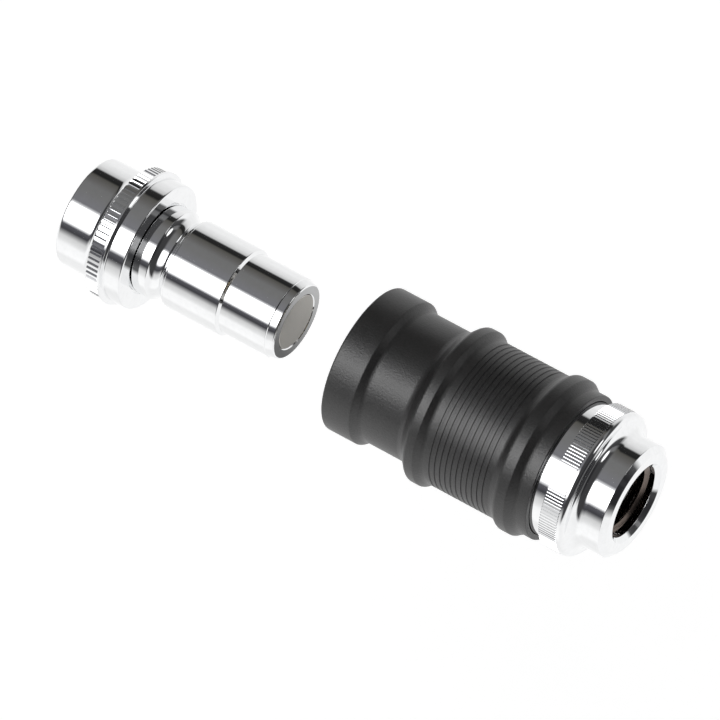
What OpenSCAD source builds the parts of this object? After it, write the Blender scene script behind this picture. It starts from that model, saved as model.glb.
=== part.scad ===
// Ball-lock quick coupling for a liquid cooling loop, its two halves pulled apart.
// +X runs along the common axis from the plug towards the socket's port, +Z is up,
// and the origin is the centre of the socket's port face.

/* [Coupling] */
// Gap between the plug's nose and the socket's front rim
gap = 13.8; // [8:0.1:40]
// Diameter of a locking ball
ball_d = 3.5; // [3.3:0.1:3.6]
// Outer radius of the plug's locking barrel
plug_r = 8; // [7.95:0.01:8.02]
// Outer radius of the plug's seal barrel
nose_r = 7.39; // [7.3:0.01:7.4]
// Travel of each shut-off valve
valve_travel = 5; // [4:0.5:6]

/* [Ports] */
// Major radius of the port thread
thread_r = 6.58; // [6.4:0.01:6.7]
// Radial width of the chamfer at a port's mouth
port_chamfer = 0.8; // [0.4:0.05:0.9]
// Outer radius of the socket's port barrel
port_barrel_r = 10.35; // [10:0.05:11]
// Outer radius of the plug's rear cup
cup_r = 9.9; // [9.5:0.05:10.5]

/* [Release sleeve] */
// Length of the sleeve
sleeve_len = 40.85; // [40.7:0.05:41]
// Travel of the sleeve from locked to released
sleeve_travel = 1.65; // [1.2:0.05:1.65]
// Radius of the front lip
lip_r = 13.2; // [12.8:0.05:13.6]
// Radius of the smooth barrel
barrel_r = 12.1; // [12:0.05:12.6]
// Radius of the two beads
bead_r = 14.35; // [13.8:0.05:15]
// Radius of the grip between the beads
grip_r = 13.35; // [13:0.05:13.6]
// Number of grooves in the grip
groove_count = 11; // [8:1:14]
// Depth of a groove
groove_depth = 0.15; // [0.1:0.05:0.4]

/* [Knurls] */
// Number of teeth on the socket's fine knurl
fine_teeth = 144; // [96:4:160]
// Depth of the fine knurl
fine_depth = 0.22; // [0.1:0.01:0.3]
// Number of teeth on the plug's coarse knurl
coarse_teeth = 72; // [48:4:90]
// Depth of the coarse knurl
coarse_depth = 0.35; // [0.2:0.05:0.45]

/* [Springs] */
// Turns of the sleeve spring
sleeve_turns = 7; // [5:1:10]
// Turns of each valve spring
valve_turns = 7; // [5:1:8]

/* [Hidden] */

$fn = 96;
eps = 0.01;
ball_count = 8;
arc_steps = 5;
flank_steps = 8;

slide_fit = 0.08;    // radial clearance of a running fit
chamfer_depth = 0.45;    // axial depth of the chamfer at a port's mouth
joint_fit = 0.02;    // radial clearance of a screwed or fixed joint
seal_fit = 0.03;     // radial clearance of a seal on the wall it wipes

// Socket stations, measured back from the sleeve's front rim
socket_len = 54;
body_front = 0.6;
ball_at = 4.2;
step_at = 17.25;                // body steps down behind the sleeve's guide land
rib_at = [17.3, 19.3];          // the sleeve's inner rib, which the spring pushes
ramp_at = [2.9, 4];             // the ramp from the ball recess to the ball land
mouth_end = 0.6;                // end of the sleeve's lead-in taper
sleeve_play = 0.35;             // gap left behind the sleeve's counterbore when released
lip_at = [5.75, 7];             // rear flank of the lip, from its edge to its foot
front_bead_at = [15.2, 17.3, 19.05, 20.15];  // foot, crest, edge and foot of a bead
rear_bead_at = [33.75, 35.1, 37.15, 38.55];
groove_at = [21.9, 32.4];       // first and last groove of the grip
groove_half = 0.22;             // half the width of a groove
groove_wall = 0.06;
skirt_at = 33.05;               // front end of the port body's skirt
band_at = 40.2;                 // front of the guide band and seat of the sleeve spring
counterbore_at = band_at - sleeve_travel - sleeve_play;
knurl_at = [43.2, 46.7];
rim_edge = 47.85;               // crisp edge of the rim behind the fine knurl
barrel_end = 53.1;
nose_bore_at = [17.6, 18];      // the bore narrows here to guide the plug's nose
nose_groove = [19.6, 22];
valve_at = 22.8;                // closed face of the valve and stem
valve_seat_at = 28.5;           // shoulder for the valve spring
valve_step = 2.2;               // depth of the valve's seat on the stem's head
tube_end = 42;
valve_play = 2.2;               // gap left behind the valve when it is fully open
valve_len = tube_end - valve_at - valve_travel - valve_play;
valve_groove = [25.4, 27.2];
stem_groove = [23.3, 24.5];
tube_groove = [37.6, 39];       // groove of the joint seal, outside the tube
lead_end = 1.9;                 // end of the tube's lead-in taper
guide_t = 1.6;                  // thickness of the stem guide
pin_len = guide_t + 0.5;        // the stem's pin, which stands in the guide
port_shoulder = tube_end + guide_t;
socket_thread_at = 44.6;

// Socket radii
lead_r = 9.3;
ball_r = ball_d / 2;
ball_locked_r = nose_r + 0.06 + ball_r;    // ball centre, locked
ball_play = 0.23;
land_r = ball_locked_r + ball_r + ball_play;
body_r = land_r - slide_fit;
recess_r = plug_r + ball_d + 0.15;
plug_bore_r = plug_r + 0.05;
nose_bore_r = nose_r + 0.06;
skirt_r = 10.1;
rib_r = skirt_r + 0.1;
chamber_r = 11.6;
band_r = 12.2;
counterbore_r = band_r + 0.1;
knurl_r = 13.2;
crest_step = 0.05;              // how far the fine knurl stands above the rim
rim_round = 1.2;
rim_fillet = 2.05;
front_round = 0.4;
end_round = 0.2;
rear_lip_r = 13.3;
tube_r = 9.18;                  // rear end of the tube, inside the skirt
stem_head_r = 5;
stem_r = 1.8;
pin_r = 1.3;
stem_hub_r = 2.8;
valve_r = nose_bore_r - 0.09;
valve_tail_r = 5.95;
valve_bore_r = 5.3;
nose_groove_r = nose_bore_r + 1.55;
tube_groove_r = tube_r - 0.98;
guide_ring_r = tube_r - 0.08;
guide_inner_r = 6.2;

// Springs: mean radius and wire radius
sleeve_wire = [10.85, 0.38];
valve_wire = [6.7, 0.38];
poppet_wire = [3.4, 0.35];

// Plug stations, measured back from the nose face
seat_end = 2.5;
chamber_at = 3.4;
taper_end = 1.45;               // end of the nose's tapered band
nose_step = 10.95;
barrel_edge = 21.7;             // rear edge of the locking barrel
ball_groove_at = 23.6;          // centre of the ball groove
neck_edge = 25.2;
collar_at = 28.2;
collar_recess = 0.5;
rim_at = [31.7, 32.2];
coarse_at = [32.2, 34.8];
cup_at = 36.7;
plug_len = 42.5;
nose_len = 33;
plug_thread_at = 33.9;
poppet_guide_at = 18.6;
poppet_guide_t = 1.8;
poppet_seat_at = 3.2;
poppet_len = poppet_guide_at + poppet_guide_t + 2;
poppet_groove = [0.8, 1.9];
poppet_step = 2.4;              // rear of the poppet's full radius
clip_groove = [20.45, 21.25];
clip_play = 0.03;
plug_groove = [30.4, 31.8];

// Plug radii
waist_r = 7.25;
ball_groove_r = 2.05;
land_step = 0.12;               // how much lower the barrel lies at the groove's edges
band_step = 0.15;
neck_r = 8.17;
collar_r = 11.5;
collar_round = 0.35;
recess_gap = 0.4;
rim_r = 12.35;
cup_fillet = 1.7;
cup_round = 0.5;
coarse_r = 11.95;
poppet_r = 5;
poppet_rod_r = 1.6;
poppet_neck_r = 2.7;
poppet_rear_r = 4.4;
seat_r = poppet_r + 0.06;
seat_edge = 0.15;
nose_chamber_r = 6;
guide_bore_r = 6.25;
poppet_hub_r = 3.9;
poppet_ring_r = 5.3;
clip_inner_r = 5.7;
clip_groove_r = guide_bore_r + 0.35;
clip_gap = 2.8;
plug_groove_r = neck_r - 0.97;
passage_r = 5.9;

// Knurl teeth, as points [share of the pitch, share of the depth]
fine_tooth = [[0, 0], [0.2, 1], [0.8, 1]];
coarse_tooth = [[0, 0], [0.16, 1], [0.84, 1]];

// Seals
thin_seal = 0.48;               // section radius of the seals on the stem and poppet
valve_seal_r = 0.55;
nose_seal_r = 0.9;
body_seal_r = 0.49;
plug_seal_r = 0.46;

// Places one half's parts, which are drawn along +Z, on the common axis
module socket_half() translate([-socket_len, 0, 0]) rotate([0, 90, 0]) children();
module plug_half() translate([-socket_len - gap, 0, 0]) rotate([0, -90, 0]) children();

// Points [station, radius] of an arc about a centre, from one angle to another
function arc(centre, r, from, to, steps = arc_steps) =
    [for (i = [0:steps]) let (a = from + (to - from) * i / steps)
        centre + r * [cos(a), sin(a)]];

// Points [station, radius] of a flank from its crisp edge down to a foot that it meets softly
function flank(edge, foot, steps = flank_steps) =
    [for (i = [0:steps]) let (t = i / steps)
        [edge[0] + (foot[0] - edge[0]) * t, edge[1] + (foot[1] - edge[1]) * sin(90 * t)]];

// The same points in the other order, from the foot up to the edge
function rising(foot, edge, steps = flank_steps) =
    let (points = flank(edge, foot, steps)) [for (i = [steps:-1:0]) points[i]];

// The middle of a groove
function middle(span) = (span[0] + span[1]) / 2;

// A solid turned from an outline of [station, radius] points
module turned(outline) {
    last = outline[len(outline) - 1][0];
    rotate_extrude()
        polygon(concat([[0, outline[0][0]]], [for (q = outline) [q[1], q[0]]], [[0, last]]));
}

// A round hole from one station to another, open past both ends
module bore(from, to, r) translate([0, 0, from - eps]) cylinder(r = r, h = to - from + 2 * eps);

// A blind stretch of bore that starts and ends exactly at its stations
module pocket(from, to, r) translate([0, 0, from]) cylinder(r = r, h = to - from);

// A conical stretch of bore
module taper(from, to, r1, r2) translate([0, 0, from]) cylinder(r1 = r1, r2 = r2, h = to - from);

// An O-ring lying across the axis
module o_ring(at, mean_r, section_r)
    color("#202022") translate([0, 0, at]) rotate_extrude()
        translate([mean_r, 0]) circle(section_r, $fn = 32);

// A ring of teeth cut along the axis, whose tooth is [share of pitch, share of depth] points
module knurl(from, to, r, depth, teeth, tooth) {
    points = [for (i = [0:teeth - 1], q = tooth)
        let (a = 360 / teeth * (i + q[0]))
        (r - depth * (1 - q[1])) * [cos(a), sin(a)]];
    translate([0, 0, from]) linear_extrude(to - from) polygon(points);
}

// A compression spring of [mean radius, wire radius] with closed end turns, between two stations
module spring(from, to, wire, turns) {
    mean_r = wire[0];
    wire_r = wire[1];
    sides = 6;
    per_turn = 20;
    rings = turns * per_turn;
    closed = 2.1 * wire_r;
    open = (to - from - 2 * wire_r - 2 * closed) / (turns - 2);
    height = function (n) n < 1 ? n * closed
        : n > turns - 1 ? closed + (turns - 2) * open + (n - turns + 1) * closed
        : closed + (n - 1) * open;
    points = [for (i = [0:rings], k = [0:sides - 1])
        let (n = i / per_turn, a = 360 * n, b = 360 * k / sides, rr = mean_r + wire_r * cos(b))
        [rr * cos(a), rr * sin(a), from + wire_r + height(n) + wire_r * sin(b)]];
    walls = [for (i = [0:rings - 1], k = [0:sides - 1])
        let (a = i * sides + k, b = i * sides + (k + 1) % sides)
        [a, b, b + sides, a + sides]];
    ends = [[for (k = [0:sides - 1]) sides - 1 - k], [for (k = [0:sides - 1]) rings * sides + k]];
    polyhedron(points, concat(walls, ends), convexity = 10);
}

// A flat spider: a ring and a hub joined by three legs
module spider(from, to, outer_r, inner_r, hub_r, hole_r) {
    leg_w = 1.6;
    difference() {
        union() {
            difference() {
                pocket(from, to, outer_r);
                bore(from, to, inner_r);
            }
            pocket(from, to, hub_r);
            for (a = [0:120:240])
                rotate(a) translate([hub_r / 2, -leg_w / 2, from])
                    cube([(inner_r + outer_r - hub_r) / 2, leg_w, to - from]);
        }
        bore(from, to, hole_r);
    }
}

// A port: the mouth's chamfer and the bore at the thread's major radius, from a shoulder to the mouth
module port_cut(from, mouth) {
    pocket(from, mouth + eps, thread_r);
    taper(mouth - chamfer_depth, mouth + eps, thread_r, thread_r + port_chamfer);
}

// ---- Socket half ----

module socket_body() color("#d8d8da") socket_half() difference() {
    turned(concat(
        [[body_front, body_r - 0.5]],
        [[body_front + 0.4, body_r], [step_at, body_r], [step_at, skirt_r], [skirt_at - eps, skirt_r]],
        [[skirt_at - eps, tube_r], [tube_end - 0.3, tube_r], [tube_end, tube_r - 0.3]]
    ));
    taper(body_front - eps, lead_end, lead_r, plug_bore_r);
    bore(body_front, nose_bore_at[0], plug_bore_r);
    taper(nose_bore_at[0], nose_bore_at[1], plug_bore_r, nose_bore_r);
    bore(nose_bore_at[0], tube_end, nose_bore_r);
    pocket(nose_groove[0], nose_groove[1], nose_groove_r);
    // Ball holes, each with a lip at its inner end that keeps the ball in
    for (i = [0:ball_count - 1])
        rotate(360 / ball_count * i) translate([0, 0, ball_at]) rotate([0, 90, 0]) {
            translate([0, 0, plug_bore_r - 1]) cylinder(r = ball_r - 0.13, h = 3, $fn = 48);
            translate([0, 0, plug_bore_r + 0.3]) cylinder(r = ball_r + 0.07, h = 4, $fn = 48);
        }
    // Groove for the joint seal
    difference() {
        pocket(tube_groove[0], tube_groove[1], tube_r + 1);
        bore(tube_groove[0], tube_groove[1], tube_groove_r);
    }
}

module socket_port() color("#dcdcde") socket_half() difference() {
    union() {
        turned(concat(
            [[skirt_at, skirt_r], [band_at, skirt_r], [band_at, band_r - 0.3], [band_at + 0.3, band_r]],
            [[knurl_at[0], band_r], [knurl_at[0], knurl_r - fine_depth - 0.02]],
            [[knurl_at[1], knurl_r - fine_depth - 0.02]],
            arc([knurl_at[1], knurl_r - crest_step - rim_round], rim_round, 90, 25),
            arc([rim_edge + rim_fillet, port_barrel_r + rim_fillet], rim_fillet, 180, 270, 7),
            [[barrel_end, port_barrel_r], [socket_len, port_barrel_r - 1.15]]
        ));
        knurl(knurl_at[0], knurl_at[1], knurl_r, fine_depth, fine_teeth, fine_tooth);
    }
    bore(skirt_at, port_shoulder - eps, tube_r + joint_fit);
    bore(port_shoulder, socket_thread_at, passage_r);
    port_cut(socket_thread_at, socket_len);
}

// Points of a bead, from its stations and the radius at each foot
function bead(at, front_r, rear_r) =
    concat(rising([at[0], front_r], [at[1], bead_r]), flank([at[2], bead_r], [at[3], rear_r]));

module sleeve_outline() {
    pitch = (groove_at[1] - groove_at[0]) / (groove_count - 1);
    floor_half = groove_half - groove_wall;
    groove = [[-groove_half, 0], [-floor_half, -groove_depth], [floor_half, -groove_depth], [groove_half, 0]];
    turned(concat(
        arc([front_round, lip_r - front_round], front_round, 180, 90),
        flank([lip_at[0], lip_r], [lip_at[1], barrel_r]),
        bead(front_bead_at, barrel_r, grip_r),
        [for (i = [0:groove_count - 1], q = groove) [groove_at[0] + pitch * i, grip_r] + q],
        bead(rear_bead_at, grip_r, rear_lip_r),
        arc([sleeve_len - end_round, rear_lip_r - end_round], end_round, 90, 0)
    ));
}

module release_sleeve() color("#2b2b2d") socket_half() difference() {
    sleeve_outline();
    taper(-eps, mouth_end, recess_r + mouth_end, recess_r);
    bore(0, ramp_at[0], recess_r);
    taper(ramp_at[0], ramp_at[1], recess_r, land_r);
    bore(ramp_at[0] + 0.1, rib_at[0] - eps, land_r);
    bore(rib_at[0], rib_at[1], rib_r);
    pocket(rib_at[1], counterbore_at, chamber_r);
    bore(counterbore_at + eps, sleeve_len, counterbore_r);
}

module sleeve_spring() color("#b9bbbf") socket_half()
    spring(rib_at[1], band_at, sleeve_wire, sleeve_turns);

module lock_ball(number) color("#c9cbd0") socket_half()
    rotate(360 / ball_count * (number - 1)) translate([ball_locked_r, 0, ball_at])
        sphere(ball_r, $fn = 48);

module nose_seal() socket_half()
    o_ring(middle(nose_groove), nose_groove_r - joint_fit - nose_seal_r, nose_seal_r);

module body_seal() socket_half()
    o_ring(middle(tube_groove), tube_r - body_seal_r, body_seal_r);

module valve_sleeve() color("#c4b089") socket_half() difference() {
    turned([
        [valve_at, valve_r - 0.2], [valve_at + 0.2, valve_r], [valve_seat_at, valve_r],
        [valve_seat_at, valve_tail_r], [valve_at + valve_len, valve_tail_r]
    ]);
    bore(valve_at, valve_at + valve_step, stem_head_r + 0.06);
    bore(valve_at + valve_step, valve_at + valve_len, valve_bore_r);
    difference() {
        pocket(valve_groove[0], valve_groove[1], valve_r + 1);
        bore(valve_groove[0], valve_groove[1], valve_r - 1.06);
    }
}

module valve_seal() socket_half()
    o_ring(middle(valve_groove), nose_bore_r - seal_fit - valve_seal_r, valve_seal_r);

module valve_spring() color("#b9bbbf") socket_half()
    spring(valve_seat_at, tube_end, valve_wire, valve_turns);

module valve_stem() color("#cfc9bd") socket_half() difference() {
    turned([
        [valve_at, stem_head_r - 0.15], [valve_at + 0.15, stem_head_r],
        [valve_at + valve_step, stem_head_r], [valve_at + 2 * valve_step, stem_r],
        [tube_end, stem_r], [tube_end, pin_r], [tube_end + pin_len, pin_r]
    ]);
    difference() {
        pocket(stem_groove[0], stem_groove[1], stem_head_r + 1);
        bore(stem_groove[0], stem_groove[1], stem_head_r - 0.95);
    }
}

module stem_seal() socket_half()
    o_ring(middle(stem_groove), stem_head_r + seal_fit - thin_seal, thin_seal);

module stem_guide() color("#cfc9bd") socket_half()
    spider(tube_end, port_shoulder, guide_ring_r, guide_inner_r, stem_hub_r, pin_r + joint_fit);

// ---- Plug half ----

module plug_port() color("#dcdcde") plug_half() difference() {
    union() {
        turned(concat(
            arc([collar_at + collar_round, collar_r - collar_round], collar_round, 180, 90),
            rising([rim_at[0] - 0.2, collar_r], [rim_at[0], rim_r], 4),
            [[rim_at[1] - 0.1, rim_r], [rim_at[1], rim_r - 0.1]],
            [[rim_at[1], coarse_r - coarse_depth], [coarse_at[1], coarse_r - coarse_depth]],
            arc([cup_at, cup_r + cup_fillet], cup_fillet, 190, 270, 7),
            arc([plug_len - cup_round, cup_r - cup_round], cup_round, 90, 0)
        ));
        knurl(coarse_at[0], coarse_at[1], coarse_r, coarse_depth, coarse_teeth, coarse_tooth);
    }
    bore(collar_at, collar_at + collar_recess, neck_r + recess_gap);
    bore(collar_at, nose_len, neck_r + joint_fit);
    bore(nose_len, plug_thread_at, nose_chamber_r);
    port_cut(plug_thread_at, plug_len);
}

module plug_nose() color("#dcdcde") plug_half() difference() {
    rotate_extrude() difference() {
        polygon(concat(
            [[0, 0]],
            [for (q = concat(
                arc([0.3, nose_r - 0.75], 0.3, 180, 90, 4),
                [[taper_end, nose_r - band_step], [taper_end + band_step, nose_r]],
                [[nose_step - 0.25, nose_r], [nose_step + 0.1, plug_r - 0.1], [nose_step + 0.2, plug_r]],
                [[barrel_edge, plug_r], [barrel_edge + band_step, plug_r - land_step]],
                [[ball_groove_at, plug_r - land_step], [ball_groove_at, neck_r - land_step]],
                [[neck_edge, neck_r - land_step], [neck_edge + band_step, neck_r]],
                [[nose_len - 0.3, neck_r], [nose_len, neck_r - 0.3]]
            )) [q[1], q[0]]],
            [[0, nose_len]]
        ));
        translate([waist_r + ball_groove_r, ball_groove_at]) circle(ball_groove_r, $fn = 64);
    }
    bore(0, seat_end, seat_r);
    taper(-eps, seat_edge, seat_r + seat_edge + eps, seat_r);
    taper(seat_end, chamber_at, seat_r, nose_chamber_r);
    bore(chamber_at, poppet_guide_at, nose_chamber_r);
    bore(poppet_guide_at + eps, nose_len, guide_bore_r);
    pocket(clip_groove[0], clip_groove[1], clip_groove_r);
    difference() {
        pocket(plug_groove[0], plug_groove[1], neck_r + 1);
        bore(plug_groove[0], plug_groove[1], plug_groove_r);
    }
}

module plug_seal() plug_half()
    o_ring(middle(plug_groove), neck_r - joint_fit - plug_seal_r, plug_seal_r);

module poppet() color("#a9a69f") plug_half() difference() {
    turned([
        [0.05, poppet_r - 0.12], [0.17, poppet_r], [poppet_step, poppet_r],
        [poppet_step + 0.2, poppet_rear_r], [poppet_seat_at, poppet_rear_r],
        [poppet_seat_at, poppet_neck_r], [poppet_seat_at + 1, poppet_neck_r],
        [poppet_seat_at + 1.5, poppet_rod_r], [poppet_len - 0.4, poppet_rod_r],
        [poppet_len, poppet_rod_r - 0.4]
    ]);
    difference() {
        pocket(poppet_groove[0], poppet_groove[1], poppet_r + 1);
        bore(poppet_groove[0], poppet_groove[1], poppet_r - 0.95);
    }
}

module poppet_seal() plug_half()
    o_ring(middle(poppet_groove), poppet_r + seal_fit - thin_seal, thin_seal);

module poppet_spring() color("#b9bbbf") plug_half()
    spring(poppet_seat_at, poppet_guide_at, poppet_wire, valve_turns + 1);

module poppet_guide() color("#cfc9bd") plug_half()
    spider(poppet_guide_at, poppet_guide_at + poppet_guide_t,
        guide_bore_r - joint_fit, poppet_ring_r, poppet_hub_r, poppet_rod_r + slide_fit);

module guide_clip() color("#b9bbbf") plug_half() difference() {
    pocket(clip_groove[0] + clip_play, clip_groove[1] - clip_play, clip_groove_r - 0.05);
    bore(clip_groove[0], clip_groove[1], clip_inner_r);
    translate([0, -clip_gap / 2, clip_groove[0] - 1]) cube([10, clip_gap, 3]);
}

socket_body();
socket_port();
release_sleeve();
sleeve_spring();
lock_ball(1);  // lock_ball_1
lock_ball(2);  // lock_ball_2
lock_ball(3);  // lock_ball_3
lock_ball(4);  // lock_ball_4
lock_ball(5);  // lock_ball_5
lock_ball(6);  // lock_ball_6
lock_ball(7);  // lock_ball_7
lock_ball(8);  // lock_ball_8
nose_seal();
body_seal();
valve_sleeve();
valve_seal();
valve_spring();
valve_stem();
stem_seal();
stem_guide();
plug_port();
plug_nose();
plug_seal();
poppet();
poppet_seal();
poppet_spring();
poppet_guide();
guide_clip();
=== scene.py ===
"""Ball-lock quick coupling for a liquid cooling loop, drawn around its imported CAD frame.

Both halves share one axis, +X. Sizes are in millimetres while a piece is being shaped,
and each piece is brought to metres when it is finished.
"""
import logging
import math
from dataclasses import dataclass
from enum import Enum
from functools import cache
from typing import Any

import bmesh
import bpy
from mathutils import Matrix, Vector


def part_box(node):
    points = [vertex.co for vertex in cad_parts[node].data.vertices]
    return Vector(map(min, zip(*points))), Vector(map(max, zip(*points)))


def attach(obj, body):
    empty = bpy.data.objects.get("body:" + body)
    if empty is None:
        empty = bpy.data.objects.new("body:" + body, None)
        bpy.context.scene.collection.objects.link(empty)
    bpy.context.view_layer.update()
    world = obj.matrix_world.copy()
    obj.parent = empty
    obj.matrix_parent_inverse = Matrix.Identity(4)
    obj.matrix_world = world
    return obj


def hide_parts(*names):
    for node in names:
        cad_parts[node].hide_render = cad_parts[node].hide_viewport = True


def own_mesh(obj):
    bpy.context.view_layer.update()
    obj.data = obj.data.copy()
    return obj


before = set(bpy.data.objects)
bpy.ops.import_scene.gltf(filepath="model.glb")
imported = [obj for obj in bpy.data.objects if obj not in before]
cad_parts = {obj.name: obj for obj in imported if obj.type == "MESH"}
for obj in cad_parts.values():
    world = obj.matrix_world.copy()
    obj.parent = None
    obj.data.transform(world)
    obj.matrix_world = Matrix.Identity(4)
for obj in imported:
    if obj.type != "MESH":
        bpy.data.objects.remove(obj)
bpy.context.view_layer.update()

log = logging.getLogger("coupling")

MM = 0.001
FACETS = 128
SMALL_FACETS = 72
# Corners closer than this are merged, and closer than the next one count as one place, in mm.
DOUBLES = 0.0002
SAME_SPOT = 0.0005
# Edges sharper than this many degrees stay sharp, on turned pieces and on coiled wire.
SHARP = 28.0
COIL_SHARP = 40.0
# A face whose normal rises more than this looks away from the axis.
FACING_OUT = 0.9

Colour = tuple[float, float, float]
WHITE = (1.0, 1.0, 1.0, 1.0)


@cache
def end_of_node(node: str, side: int) -> float:
    """Returns where a CAD node ends along the common axis.

    Args:
        node: the CAD node's name.
        side: 0 for its lowest end, 1 for its highest.

    Returns:
        The place on the axis, in mm.
    """
    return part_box(node)[side].x / MM


class Half(Enum):
    """The two halves, each measured back from its own front face."""

    SOCKET = ("release_sleeve", 0, 1)
    PLUG = ("plug_nose", 1, -1)

    def x(self, station: float) -> float:
        """Returns a station's place on the common axis, in mm."""
        node, side, way = self.value
        return end_of_node(node, side) + way * station


@dataclass(frozen=True)
class Corner:
    """A corner of a turned outline.

    Attributes:
        at: station along the axis, in mm.
        radius: distance from the axis, in mm.
        soft: how far the corner's rounding reaches along each side, in mm.
        steps: facets of that rounding.
    """

    at: float
    radius: float
    soft: float = 0.0
    steps: int = 2


Outline = list[Corner]


def hollow(at: float, radius: float, cutter: float, start: float, end: float, steps: int) -> Outline:
    """Returns the corners of a round-bottomed groove.

    Args:
        at: station of the cutter's centre.
        radius: radius of the cutter's centre.
        cutter: the cutter's own radius.
        start: angle at which the cut begins, in degrees.
        end: angle at which it ends.
        steps: number of facets.

    Returns:
        The corners from start to end.
    """
    turns = [math.radians(start + (end - start) * i / steps) for i in range(steps + 1)]
    return [Corner(at + cutter * math.cos(a), radius + cutter * math.sin(a)) for a in turns]


# ---- Modelling tools ----

def clear_selection() -> None:
    """Leaves nothing selected, so that a new primitive stands alone."""
    if bpy.context.object and bpy.context.object.mode != "OBJECT":
        bpy.ops.object.mode_set(mode="OBJECT")
    bpy.ops.object.select_all(action="DESELECT")


def make_active(piece: bpy.types.Object) -> None:
    """Selects one object alone and makes it the active one.

    Args:
        piece: the object.
    """
    clear_selection()
    piece.select_set(True)
    bpy.context.view_layer.objects.active = piece


def edit_whole() -> None:
    """Goes into edit mode with the whole mesh selected."""
    bpy.ops.object.mode_set(mode="EDIT")
    bpy.ops.mesh.select_all(action="SELECT")


def tidy_shell() -> None:
    """Merges doubles in the mesh being edited and turns its faces outwards."""
    bpy.ops.mesh.select_all(action="SELECT")
    bpy.ops.mesh.remove_doubles(threshold=DOUBLES)
    bpy.ops.mesh.normals_make_consistent(inside=False)


def pick_vertices(piece: bpy.types.Object, spots: list[Vector]) -> None:
    """Selects the vertices of the mesh being edited that lie at given places.

    Args:
        piece: the object in edit mode.
        spots: the places, in mm.
    """
    bpy.ops.mesh.select_mode(type="VERT")
    bpy.ops.mesh.select_all(action="DESELECT")
    mesh = bmesh.from_edit_mesh(piece.data)
    for vertex in mesh.verts:
        if any((vertex.co - spot).length < SAME_SPOT for spot in spots):
            vertex.select_set(True)
    mesh.select_flush_mode()
    bmesh.update_edit_mesh(piece.data)


def draw_line(spots: list[Vector], closed: bool) -> bpy.types.Object:
    """Draws a line of edges, from a plane shrunk to one corner and extruded on from there.

    Args:
        spots: the corners in order, in mm.
        closed: whether the last corner is joined to the first.

    Returns:
        The new object, in edit mode.
    """
    clear_selection()
    bpy.ops.mesh.primitive_plane_add(size=1.0, location=(0.0, 0.0, 0.0))
    piece = bpy.context.object
    bpy.ops.object.mode_set(mode="EDIT")
    bpy.ops.mesh.select_mode(type="VERT")
    bpy.ops.mesh.merge(type="CENTER")
    bpy.ops.mesh.select_all(action="SELECT")
    bpy.ops.transform.translate(value=spots[0])
    for before, after in zip(spots, spots[1:]):
        bpy.ops.mesh.extrude_region_move(TRANSFORM_OT_translate={"value": after - before})
    if closed:
        pick_vertices(piece, [spots[0], spots[-1]])
        bpy.ops.mesh.edge_face_add()
    return piece


def draw_outline(half: Half, outline: Outline, closed: bool) -> bpy.types.Object:
    """Draws an outline in the plane through the axis.

    Args:
        half: the half whose stations the outline uses.
        outline: the corners in order.
        closed: whether the last corner is joined to the first.

    Returns:
        The new object, in edit mode with its rounded corners cut.
    """
    spots = [Vector((half.x(p.at), 0.0, p.radius)) for p in outline]
    piece = draw_line(spots, closed)
    for soft, steps in sorted({(p.soft, p.steps) for p in outline if p.soft > 0}, reverse=True):
        pick_vertices(piece, [s for s, p in zip(spots, outline) if (p.soft, p.steps) == (soft, steps)])
        bpy.ops.mesh.bevel(offset=soft, segments=steps, profile=0.5, affect="VERTICES")
    return piece


def turn(half: Half, outline: Outline, closed: bool = True, facets: int = FACETS) -> bpy.types.Object:
    """Turns an outline about the common axis, as on a lathe.

    Args:
        half: the half whose stations the outline uses.
        outline: the corners in order; an open outline starts and ends on the axis.
        closed: whether the outline is a closed section, as of a ring.
        facets: steps of the turn.

    Returns:
        The turned object, in object mode and still in mm.
    """
    piece = draw_outline(half, outline, closed)
    bpy.ops.mesh.select_all(action="SELECT")
    bpy.ops.mesh.spin(steps=facets, angle=math.tau, center=(0, 0, 0), axis=(1, 0, 0))
    tidy_shell()
    bpy.ops.object.mode_set(mode="OBJECT")
    return piece


def repeat_round(piece: bpy.types.Object, count: int) -> None:
    """Copies a piece's mesh evenly about the common axis, as its own shells.

    Args:
        piece: the object, whose mesh is one item standing over the axis.
        count: number of items all round.
    """
    make_active(piece)
    edit_whole()
    bpy.ops.mesh.spin(steps=count - 1, angle=math.tau * (count - 1) / count,
                      center=(0, 0, 0), axis=(1, 0, 0), dupli=True)
    bpy.ops.object.mode_set(mode="OBJECT")


def block(centre: Vector, size: Vector) -> bpy.types.Object:
    """Adds a cube brought to a place and size, left in edit mode with all of it selected.

    Args:
        centre: its centre, in mm.
        size: its three sides, in mm.

    Returns:
        The new object.
    """
    clear_selection()
    bpy.ops.mesh.primitive_cube_add(size=1.0, location=(0.0, 0.0, 0.0))
    bpy.ops.object.mode_set(mode="EDIT")
    bpy.ops.transform.resize(value=size)
    bpy.ops.transform.translate(value=centre)
    return bpy.context.object


def join(main: bpy.types.Object, others: list[bpy.types.Object]) -> bpy.types.Object:
    """Joins objects into one.

    Args:
        main: the object that the others go into.
        others: the others.

    Returns:
        The first object, now holding all of them.
    """
    make_active(main)
    for other in others:
        other.select_set(True)
    bpy.ops.object.join()
    return main


def apply_modifier(piece: bpy.types.Object, kind: str, **settings: Any) -> None:
    """Adds a modifier with its settings and applies it.

    Args:
        piece: the object.
        kind: the modifier's type.
        settings: its properties.
    """
    make_active(piece)
    modifier = piece.modifiers.new(kind.lower(), kind)
    for key, value in settings.items():
        setattr(modifier, key, value)
    bpy.ops.object.modifier_apply(modifier=modifier.name)


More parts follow.
